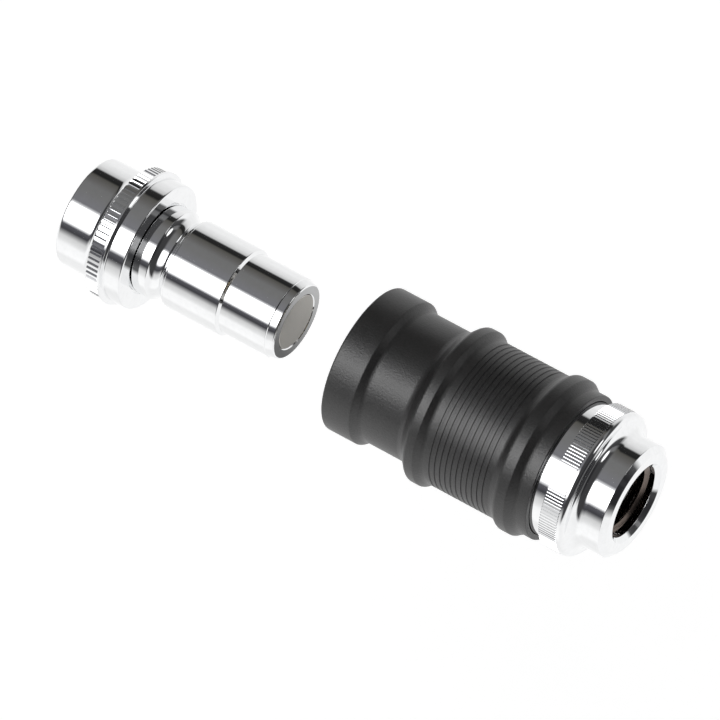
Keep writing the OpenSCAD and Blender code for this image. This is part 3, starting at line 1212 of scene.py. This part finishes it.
@dataclass
class SocketValve:
    """The sliding shut-off valve of the socket, with its stem, guide and springs.

    Attributes:
        face: station of the closed valve's front face.
        length: length of the sliding ring.
        outer: outer radius of the ring.
        seal: stations of the ring's seal groove.
        seal_floor: radius of that groove's floor.
        shoulder: station of the shoulder that the valve's spring pushes on.
        tail: outer radius behind the shoulder.
        bore: inner radius of the ring.
        seat: inner radius where it closes on the stem's head.
        seat_end: station where the seat and the head end.
        stem_head: radius of the stem's head.
        stem_seal: stations of the head's seal groove.
        stem_seal_floor: radius of that groove's floor.
        neck_at: station where the head has narrowed to the stem.
        stem: radius of the stem.
        pin: radius of the stem's end in the guide.
        pin_end: station of that end.
        tube_end: station of the tube's rear end, which the guide lies against.
        sleeve_coil: mean radius of the sleeve's spring.
        valve_coil: mean radius of the valve's spring.
        wire: radius of the wire of both.
        turns: number of turns of both.
    """

    face: float = 22.8
    length: float = 12.0
    outer: float = 7.36
    seal: Span = (25.4, 27.2)
    seal_floor: float = 6.3
    shoulder: float = 28.5
    tail: float = 5.95
    bore: float = 5.3
    seat: float = 5.06
    seat_end: float = 25.0
    stem_head: float = 5.0
    stem_seal: Span = (23.3, 24.5)
    stem_seal_floor: float = 4.05
    neck_at: float = 27.2
    stem: float = 1.8
    pin: float = 1.3
    pin_end: float = 44.1
    tube_end: float = SocketTube.end
    sleeve_coil: float = 10.85
    valve_coil: float = 6.7
    wire: float = 0.38
    turns: int = 7

    def slider(self) -> None:
        """Turns and dresses the sliding ring."""
        rear = self.face + self.length
        seal, seal_end = self.seal
        piece = turn(Half.SOCKET, [
            Corner(self.face, self.seat, 0.08), Corner(self.face, self.outer, 0.2), Corner(seal, self.outer),
            Corner(seal, self.seal_floor), Corner(seal_end, self.seal_floor), Corner(seal_end, self.outer),
            Corner(self.shoulder, self.outer, 0.1), Corner(self.shoulder, self.tail),
            Corner(rear, self.tail, 0.1), Corner(rear, self.bore, 0.1),
            Corner(self.seat_end, self.bore), Corner(self.seat_end, self.seat),
        ])
        hand_in(piece, "valve_ring", "valve", BRASS, "valve_sleeve")
        dress_node("valve_seal", RUBBER)

    def core(self) -> None:
        """Turns and dresses the fixed stem and its spider."""
        seal, seal_end = self.stem_seal
        piece = turn(Half.SOCKET, [
            Corner(self.face, 0), Corner(self.face, self.stem_head, 0.15), Corner(seal, self.stem_head),
            Corner(seal, self.stem_seal_floor), Corner(seal_end, self.stem_seal_floor),
            Corner(seal_end, self.stem_head), Corner(self.seat_end, self.stem_head, 0.1),
            Corner(self.neck_at, self.stem, 0.4, 4), Corner(self.tube_end, self.stem),
            Corner(self.tube_end, self.pin), Corner(self.pin_end, self.pin, 0.2), Corner(self.pin_end, 0),
        ], closed=False)
        hand_in(piece, "valve_core", "socket", SATIN_VALVE, "valve_stem")
        dress_node("stem_seal", RUBBER)
        spider = Spider(Half.SOCKET, self.tube_end, thick=1.6, outer=9.1, inner=6.2, hub=2.8,
                        hole=1.32).build()
        hand_in(spider, "core_spider", "socket", SATIN_STEEL, "stem_guide")

    def springs(self) -> None:
        """Winds the sleeve spring and the valve spring."""
        rib, band = ReleaseSleeve.rib_at[1], SocketPort.band_start
        sleeve = Coil(Half.SOCKET, rib, band, self.sleeve_coil, self.wire, self.turns).build()
        sleeve = hand_in(sleeve, "sleeve_coil", "socket", WIRE, "sleeve_spring", COIL_SHARP)
        Half.SOCKET.x(band) * MM
        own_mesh(sleeve)
        valve = Coil(Half.SOCKET, self.shoulder, self.tube_end, self.valve_coil, self.wire,
                     self.turns).build()
        valve = hand_in(valve, "valve_coil", "socket", WIRE, "valve_spring", COIL_SHARP)
        Half.SOCKET.x(self.tube_end) * MM
        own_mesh(valve)

    def build(self) -> None:
        """Makes the whole valve."""
        self.slider()
        self.core()
        self.springs()


# ---- Plug half ----

@dataclass
class PlugPort(ThreadedPort):
    """The chromed rear of the plug, with its collar, rim, coarse knurl and cup.

    Attributes:
        length: station of the port's face.
        thread_start: station of the thread's inner end.
        recess: inner radius of the collar's front edge.
        collar_at: station of the collar's front face.
        collar: radius of the collar.
        collar_end: station where the collar ends.
        rim: radius of the rim in front of the knurl.
        rim_at: station of the rim's front edge.
        knurl: radius of the knurl's crests.
        knurl_at: stations of the knurl's two ends.
        tooth_depth: height of a tooth.
        tooth_crest: tooth width at the crest, as a share of the pitch.
        teeth: number of teeth.
        cup: radius of the rear cup.
        cup_at: station where the cup meets the knurl.
        socket: radius of the bore that takes the nose.
        socket_at: stations of that bore's two ends.
    """

    length: float = 42.5
    thread_start: float = 33.9
    recess: float = 8.57
    collar_at: float = 28.2
    collar: float = 11.5
    collar_end: float = 31.5
    rim: float = 12.35
    rim_at: float = 31.72
    knurl: float = 11.95
    knurl_at: Span = (32.2, 34.8)
    tooth_depth: float = 0.35
    tooth_crest: float = 0.45
    teeth: int = 72
    cup: float = 9.9
    cup_at: float = 35.0
    socket: float = 8.19
    socket_at: Span = (28.7, 33.0)

    def outline(self) -> Outline:
        """Draws the section of the whole turned body.

        Returns:
            Its corners.
        """
        root = self.knurl - self.tooth_depth
        (start, end), (socket, socket_end) = self.knurl_at, self.socket_at
        return [
            Corner(self.collar_at, self.recess, 0.06), Corner(self.collar_at, self.collar, 0.35, 5),
            Corner(self.collar_end, self.collar, 0.2, 3), Corner(self.rim_at, self.rim, 0.1, 3),
            Corner(start, self.rim, 0.1, 3), Corner(start, root), Corner(end, root, 0.1),
            Corner(self.cup_at, self.cup, 1.55, 10), Corner(self.length, self.cup, 0.5, 6), *self.mouth(),
            Corner(socket_end, self.passage), Corner(socket_end, self.socket),
            Corner(socket, self.socket), Corner(socket, self.recess),
        ]

    def build(self) -> None:
        """Turns the body, cuts its knurl and thread, and dresses them."""
        body = turn(Half.PLUG, self.outline())
        teeth = ToothRing(Half.PLUG, *self.knurl_at, self.knurl, self.tooth_depth, self.teeth,
                          crest=self.tooth_crest).build()
        hand_in(join(body, [teeth]), "plug_rear", "plug", CHROME, "plug_port")
        hand_in(self.thread(Half.PLUG), "plug_thread", "plug", THREAD_PAINTED_SHADE, "plug_port")


@dataclass
class PlugNose:
    """The chromed nose of the plug, with its seal barrel, step and ball groove.

    Attributes:
        nose: radius of the seal barrel.
        tip: how far the front face's edge lies inside that radius.
        tip_cone: how far the tip's cone ends inside it.
        tip_end: stations where the cone ends and the barrel starts.
        barrel: radius of the lock barrel.
        step: station of the step between the two barrels.
        step_reach: how far the step's cone runs before and after that.
        relief: stations of the shallow relief in front of the ball groove.
        relief_depth: its depth.
        waist: radius at the bottom of the ball groove.
        groove: station of the ball groove's centre.
        cutter: radius of the cutter that makes the groove.
        neck: outer radius of the part inside the rear body.
        neck_at: not used; the relief's last station is where the neck starts.
        seal: stations of the joint's seal groove.
        seal_floor: radius of that groove's floor.
        seat: inner radius where the poppet closes.
        seat_lead: width of the chamfer in front of the seat.
        seat_at: stations where the seat ends and its cone ends.
        chamber: radius around the poppet's spring.
        guide: radius that takes the poppet's guide.
        guide_at: station of the guide's front face.
        clip: stations of the groove of the guide's clip.
        clip_depth: depth of that groove.
        length: station of the rear end.
    """

    nose: float = 7.39
    tip: float = 0.47
    tip_cone: float = 0.15
    tip_end: Span = (1.45, 1.58)
    barrel: float = 8.0
    step: float = 10.95
    step_reach: Span = (0.25, 0.15)
    relief: Stations = (21.75, 21.85, 22.08, 25.35)
    relief_depth: float = 0.12
    waist: float = 7.25
    groove: float = 23.6
    cutter: float = 2.05
    neck: float = 8.17
    seal: Span = (30.4, 31.8)
    seal_floor: float = 7.2
    seat: float = 5.06
    seat_lead: Span = (0.15, 0.16)
    seat_at: Span = (2.5, 3.4)
    chamber: float = 6.0
    guide: float = 6.25
    guide_at: float = 18.6
    clip: Span = (20.45, 21.25)
    clip_depth: float = 0.35
    length: float = 33.0

    def tip_corners(self) -> Outline:
        """Returns the corners from the seat's edge over the tip and the step to the relief."""
        before, after = self.step_reach
        return [
            Corner(0, self.seat + self.seat_lead[1]), Corner(0, self.nose - self.tip, 0.3, 5),
            Corner(self.tip_end[0], self.nose - self.tip_cone), Corner(self.tip_end[1], self.nose, 0.05),
            Corner(self.step - before, self.nose), Corner(self.step + after, self.barrel, 0.12, 3),
        ]

    def groove_corners(self) -> Outline:
        """Draws the relief and the ball groove, up to the neck.

        Returns:
            Their corners.
        """
        start, floor, floor_end, neck = self.relief
        relieved = self.barrel - self.relief_depth
        return [
            Corner(start, self.barrel, 0.08), Corner(floor, relieved), Corner(floor_end, relieved),
            *hollow(self.groove, self.waist + self.cutter, self.cutter, 223.8, 323.0, 14),
            Corner(neck, self.neck, 0.1, 3),
        ]

    def inner_corners(self) -> Outline:
        """Draws the neck and the bore, back to the seat.

        Returns:
            Their corners.
        """
        (seal, seal_end), (clip, clip_end) = self.seal, self.clip
        clip_floor = self.guide + self.clip_depth
        return [
            Corner(seal, self.neck), Corner(seal, self.seal_floor), Corner(seal_end, self.seal_floor),
            Corner(seal_end, self.neck), Corner(self.length, self.neck, 0.25),
            Corner(self.length, self.guide), Corner(clip_end, self.guide), Corner(clip_end, clip_floor),
            Corner(clip, clip_floor),
            Corner(clip, self.guide), Corner(self.guide_at, self.guide), Corner(self.guide_at, self.chamber),
            Corner(self.seat_at[1], self.chamber), Corner(self.seat_at[0], self.seat),
            Corner(self.seat_lead[0], self.seat),
        ]

    def build(self) -> None:
        """Turns and dresses the nose and its joint seal."""
        piece = turn(Half.PLUG, self.tip_corners() + self.groove_corners() + self.inner_corners())
        hand_in(piece, "plug_front", "plug", CHROME, "plug_nose")
        dress_node("plug_seal", RUBBER)


@dataclass
class PoppetValve:
    """The shut-off valve in the plug's nose, with its spring, guide and clip.

    Attributes:
        front: station of the poppet's face.
        head: radius of its head.
        seal: stations of the head's seal groove.
        seal_floor: radius of that groove's floor.
        head_end: stations where the head starts to narrow and has narrowed to the flange.
        flange: radius of the flange that the spring pushes on.
        seat: station of the flange's rear face.
        hub: radius behind the flange.
        hub_end: stations where the hub ends and has narrowed to the rod.
        rod: radius of the rod.
        rod_end: station of its end.
        guide_at: station of the guide's front face.
        coil: mean radius of the spring.
        wire: radius of its wire.
        turns: number of its turns.
    """

    front: float = 0.05
    head: float = 5.0
    seal: Span = (0.8, 1.9)
    seal_floor: float = 4.05
    head_end: Span = (2.4, 2.6)
    flange: float = 4.4
    seat: float = 3.2
    hub: float = 2.7
    hub_end: Span = (4.2, 4.7)
    rod: float = 1.6
    rod_end: float = 22.4
    guide_at: float = PlugNose.guide_at
    coil: float = 3.4
    wire: float = 0.35
    turns: int = 8

    def poppet(self) -> None:
        """Turns and dresses the poppet."""
        seal, seal_end = self.seal
        piece = turn(Half.PLUG, [
            Corner(self.front, 0), Corner(self.front, self.head, 0.12), Corner(seal, self.head),
            Corner(seal, self.seal_floor), Corner(seal_end, self.seal_floor), Corner(seal_end, self.head),
            Corner(self.head_end[0], self.head), Corner(self.head_end[1], self.flange),
            Corner(self.seat, self.flange), Corner(self.seat, self.hub), Corner(self.hub_end[0], self.hub),
            Corner(self.hub_end[1], self.rod, 0.2), Corner(self.rod_end, self.rod, 0.4, 3),
            Corner(self.rod_end, 0),
        ], closed=False)
        hand_in(piece, "poppet_valve", "poppet", SATIN_VALVE, "poppet")
        dress_node("poppet_seal", RUBBER)

    def rear(self) -> None:
        """Makes the spring, the guide and the clip behind the poppet."""
        coil = Coil(Half.PLUG, self.seat, self.guide_at, self.coil, self.wire, self.turns,
                    facets=32, sides=10).build()
        coil = hand_in(coil, "poppet_coil", "plug", WIRE, "poppet_spring", COIL_SHARP)
        Half.PLUG.x(self.guide_at) * MM
        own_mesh(coil)
        spider = Spider(Half.PLUG, self.guide_at, thick=1.8, outer=6.23, inner=5.3, hub=3.9,
                        hole=1.68).build()
        hand_in(spider, "poppet_spider", "plug", SATIN_STEEL, "poppet_guide")
        dress_node("guide_clip", SATIN_STEEL)

    def build(self) -> None:
        """Makes the whole valve."""
        self.poppet()
        self.rear()


# ---- Studio ----

# Share of the light that the chrome gives back.
METAL_SHARE = 0.93


def as_light(seen: float) -> float:
    """Returns the linear light of a screen value between 0 and 1, with the metal's own loss made up."""
    linear = seen / 12.92 if seen <= 0.04045 else ((seen + 0.055) / 1.055) ** 2.4
    return linear / METAL_SHARE


def grey(value: float) -> Colour:
    """Returns a neutral screen colour from a value out of 255."""
    return (value / 255, value / 255, value / 255)


# What the metal mirrors round the axis: the side walls, the bright panel and the dark ends.
# Each stop is an angle from straight up, towards the camera's side, and a colour as seen.
WALLS = [
    (-180, grey(241)), (-158, grey(247)), (-130, grey(247)), (-112, grey(240)), (-90, grey(238)),
    (-70, grey(222)), (-59, grey(190)), (-55.5, grey(42)), (-43, grey(33)), (-39, (0.32, 0.315, 0.30)),
    (-27, (0.38, 0.375, 0.37)), (-16, grey(110)), (0, grey(112)), (22, (0.46, 0.46, 0.475)),
    (34, (0.40, 0.40, 0.42)), (76, (0.35, 0.35, 0.37)), (88, (0.24, 0.24, 0.255)),
    (94, (0.57, 0.57, 0.575)), (101, grey(208)), (112, grey(228)), (120, grey(250)), (144, grey(255)),
    (155, grey(239)), (180, grey(240)),
]
PANEL = [(-180, grey(0)), (26, grey(0)), (31, grey(110)), (37, grey(255)), (61, grey(255)), (66, grey(190)),
         (77, grey(0)), (180, grey(0))]
ENDS = [
    (-180, grey(245)), (-84, grey(243)), (-74, grey(60)), (-52, grey(44)), (-47, grey(104)), (-36, grey(112)),
    (-30, grey(46)), (60, grey(42)), (110, grey(48)), (122, grey(240)), (180, grey(245)),
]
# The panel's strength, and how far a direction leans along the axis where the panel fades out
# and where the walls give way to the ends.
PANEL_POWER = 4.0
PANEL_REACH = (0.66, 0.74)
WALL_REACH = (0.78, 0.86)
# The same towards the port, where the ends begin sooner and then darken to a tenth.
END_REACH = (0.1, 0.4)
END_FADE = (0.90, 0.96)
END_REST = 0.1
END_GLOW = (0.02, 0.02, 0.022)
# A small lamp that the dished shoulder mirrors: where it is, its soft edge and its strength.
LAMP = (0.766, 0.312, 0.563)
LAMP_EDGE = (0.982, 0.990)
LAMP_POWER = 1.3
# The light on what is not a mirror: from the front, over an even fill.
FRONT = (0.0, -0.766, 0.643)
FRONT_POWER = 1.3
FILL = 0.35


@dataclass
class Studio:
    """The floor, the light and the camera.

    Attributes:
        azimuth: the camera's turn from the front, in degrees.
        elevation: its height, in degrees.
        distance: its distance from what it looks at, in m.
        lens: focal length, in mm.
        across: how far the view's centre lies to the left of the socket's port face, in mm.
        above: how far it lies above it, in mm.
        floor_drop: depth of the floor under the axis, in m.
        floor_size: side of the floor, in m.
        floor_tone: how white the floor is.
        floor_lift: light added to the floor as the camera sees it.
        card_size: side of the glowing card that the nose mirrors as painted shade, in m.
        card_away: its distance from the plug's nose, in m.
        card_tones: its light at two opposite corners, the painted shade's dark end and light end.
        card_spread: how far from its middle those tones are reached, in m.
    """

    azimuth: float = 34.3
    elevation: float = 51.6
    distance: float = 1.5
    lens: float = 457.0
    across: float = 45.47
    above: float = 23.62
    floor_drop: float = 0.12
    floor_size: float = 6.0
    floor_tone: float = 0.93
    floor_lift: float = 0.3
    card_size: float = 0.026
    card_away: float = 0.05
    card_tones: Span = (0.14, 0.5)
    card_spread: float = 0.008

    def floor(self) -> None:
        """Lays a broad pale floor."""
        clear_selection()
        bpy.ops.mesh.primitive_plane_add(size=self.floor_size, location=(0.0, 0.0, 0.0))
        floor = bpy.context.object
        bpy.ops.object.mode_set(mode="EDIT")
        bpy.ops.transform.translate(value=(0.0, 0.0, -self.floor_drop))
        bpy.ops.object.mode_set(mode="OBJECT")
        floor.name = "floor"
        paper, desk = new_material("floor_paper")
        tone = self.floor_tone
        diffuse = desk.add("ShaderNodeBsdfDiffuse", {"Color": (tone, tone, tone, 1.0)})
        seen = desk.add("ShaderNodeLightPath").outputs["Is Camera Ray"]
        lift = desk.add("ShaderNodeEmission", {
            "Color": WHITE, "Strength": desk.math("MULTIPLY", seen, self.floor_lift)})
        both = desk.add("ShaderNodeAddShader", {0: diffuse.outputs[0], 1: lift.outputs[0]})
        desk.add("ShaderNodeOutputMaterial", {"Surface": both.outputs[0]})
        floor.data.materials.append(paper)
        floor.visible_glossy = False

    def card(self) -> None:
        """Hangs a glowing card where the plug's nose mirrors it, out of the camera's sight: a painted
        reflection of shade, dark at one corner and lighter at the other.
        """
        way = self.back()
        way = Vector((way.x, -way.y, -way.z))
        nose = Vector((Half.PLUG.x(0.0) * MM, 0.0, 0.0))
        clear_selection()
        bpy.ops.mesh.primitive_plane_add(size=self.card_size, location=nose + way * self.card_away,
                                         rotation=way.to_track_quat("Z", "Y").to_euler())
        card = bpy.context.object
        card.name = "painted_shade_card"
        # The card's glow is painted shade, seen only in the reflections of the nose and poppet faces.
        paint, desk = new_material("painted_shade_card_glow")
        place = desk.add("ShaderNodeTexCoord").outputs["Object"]
        parts = desk.add("ShaderNodeSeparateXYZ", {0: place}).outputs
        share = desk.span(desk.math("ADD", parts[0], parts[1]), *self.card_tones,
                          (-self.card_spread, self.card_spread))
        light = desk.add("ShaderNodeEmission", {"Color": WHITE, "Strength": share})
        desk.add("ShaderNodeOutputMaterial", {"Surface": light.outputs[0]})
        card.data.materials.append(paint)
        card.visible_camera = card.visible_diffuse = card.visible_shadow = False

    @staticmethod
    def ramp(desk: NodeDesk, around: bpy.types.NodeSocket,
             stops: list[tuple[float, Colour]]) -> bpy.types.NodeSocket:
        """Adds a colour ramp round the axis.

        Args:
            desk: the desk of the world's nodes.
            around: the place round the axis, 0 to 1 for -180 to 180 degrees.
            stops: angle from straight up, towards the camera's side, and the colour as seen.

        Returns:
            The ramp's colour.
        """
        ramp = desk.add("ShaderNodeValToRGB", {"Fac": around})
        elements = ramp.color_ramp.elements
        for i, (degrees, seen) in enumerate(stops):
            place = (degrees + 180) / 360
            stop = elements[i] if i < 2 else elements.new(place)
            stop.position = place
            stop.color = (*(as_light(c) for c in seen), 1.0)
        return ramp.outputs[0]

    def mirrored_light(self, desk: NodeDesk, way: bpy.types.NodeSocket) -> bpy.types.NodeSocket:
        """Sets what the metal mirrors, soft panels placed by direction.

        Args:
            desk: the desk of the world's nodes.
            way: the direction looked in.

        Returns:
            The light from that direction.
        """
        parts = desk.add("ShaderNodeSeparateXYZ", {0: way}).outputs
        angle = desk.math("ARCTAN2", desk.math("MULTIPLY", parts[1], -1.0), parts[2])
        around = desk.span(angle, 0.0, 1.0, (-math.pi, math.pi))
        lean = desk.math("ABSOLUTE", parts[0])
        strength = desk.math("MULTIPLY", desk.span(lean, 1.0, 0.0, PANEL_REACH), PANEL_POWER)
        panel = desk.vector("SCALE", self.ramp(desk, around, PANEL), strength)
        sides = desk.vector("ADD", self.ramp(desk, around, WALLS), panel)
        shade = desk.vector("SCALE", self.ramp(desk, around, ENDS),
                            desk.span(parts[0], 1.0, END_REST, END_FADE))
        lamp = desk.span(desk.vector("DOT_PRODUCT", way, LAMP), 0.0, LAMP_POWER, LAMP_EDGE)
        ends = desk.vector("ADD", desk.vector("ADD", shade, END_GLOW), lamp)
        share = desk.math("MAXIMUM", desk.span(lean, 0.0, 1.0, WALL_REACH),
                          desk.span(parts[0], 0.0, 1.0, END_REACH))
        return desk.add("ShaderNodeMix", {"Factor": share, 6: sides, 7: ends}, data_type="RGBA").outputs[2]

    def sky(self) -> None:
        """Sets the light all round: white to the eye, soft to dull surfaces, panels to the metal."""
        world = bpy.data.worlds.new("studio")
        bpy.context.scene.world = world
        world.use_nodes = True
        world.cycles.sampling_method = "NONE"
        world.node_tree.nodes.clear()
        desk = NodeDesk(world.node_tree)
        way = desk.add("ShaderNodeTexCoord").outputs["Generated"]
        facing = desk.math("MAXIMUM", desk.vector("DOT_PRODUCT", way, FRONT), 0.0)
        front = desk.math("MULTIPLY", desk.math("MULTIPLY", facing, facing), FRONT_POWER)
        soft = desk.math("ADD", front, FILL)
        path = desk.add("ShaderNodeLightPath").outputs
        mirrored = desk.math("MAXIMUM", path["Is Glossy Ray"], path["Is Transmission Ray"])
        lit = desk.add("ShaderNodeMix", {"Factor": mirrored, 6: soft, 7: self.mirrored_light(desk, way)},
                       data_type="RGBA")
        shown = desk.add("ShaderNodeMix", {"Factor": path["Is Camera Ray"], 6: lit.outputs[2], 7: WHITE},
                         data_type="RGBA")
        sky = desk.add("ShaderNodeBackground", {"Color": shown.outputs[2], "Strength": 1.0})
        desk.add("ShaderNodeOutputWorld", {"Surface": sky.outputs[0]})

    def back(self) -> Vector:
        """Returns the direction from the object to the camera."""
        a, e = math.radians(self.azimuth), math.radians(self.elevation)
        return Vector((math.sin(a) * math.cos(e), -math.cos(a) * math.cos(e), math.sin(e)))

    def camera(self) -> None:
        """Places the camera at its viewing angle."""
        back = self.back()
        right = Vector((0.0, 0.0, 1.0)).cross(back).normalized()
        up = back.cross(right)
        aim = (up * self.above - right * self.across) * MM
        data = bpy.data.cameras.new("camera")
        data.lens = self.lens
        data.sensor_width = 36.0
        data.clip_start = 0.01
        data.clip_end = 20.0
        camera = bpy.data.objects.new("camera", data)
        bpy.context.scene.collection.objects.link(camera)
        camera.location = aim + back * self.distance
        camera.rotation_euler = back.to_track_quat("Z", "Y").to_euler()
        bpy.context.scene.camera = camera

    def build(self) -> None:
        """Sets the whole studio."""
        self.floor()
        self.card()
        self.sky()
        self.camera()
        bpy.context.scene.view_settings.view_transform = "Standard"


def write_sizes() -> None:
    """Brings the view layer up to date; it writes no sizes."""
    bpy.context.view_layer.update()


def main() -> None:
    """Builds the coupling, half by half, and then its studio."""
    logging.basicConfig(level=logging.INFO, format="%(name)s: %(message)s")
    Studio().build()
    for part in (ReleaseSleeve(), SocketPort(), SocketTube(), SocketValve(), PlugPort(), PlugNose(),
                 PoppetValve()):
        part.build()
        log.info("%s done", type(part).__name__)
    write_sizes()


if __name__ == "__main__":
    main()
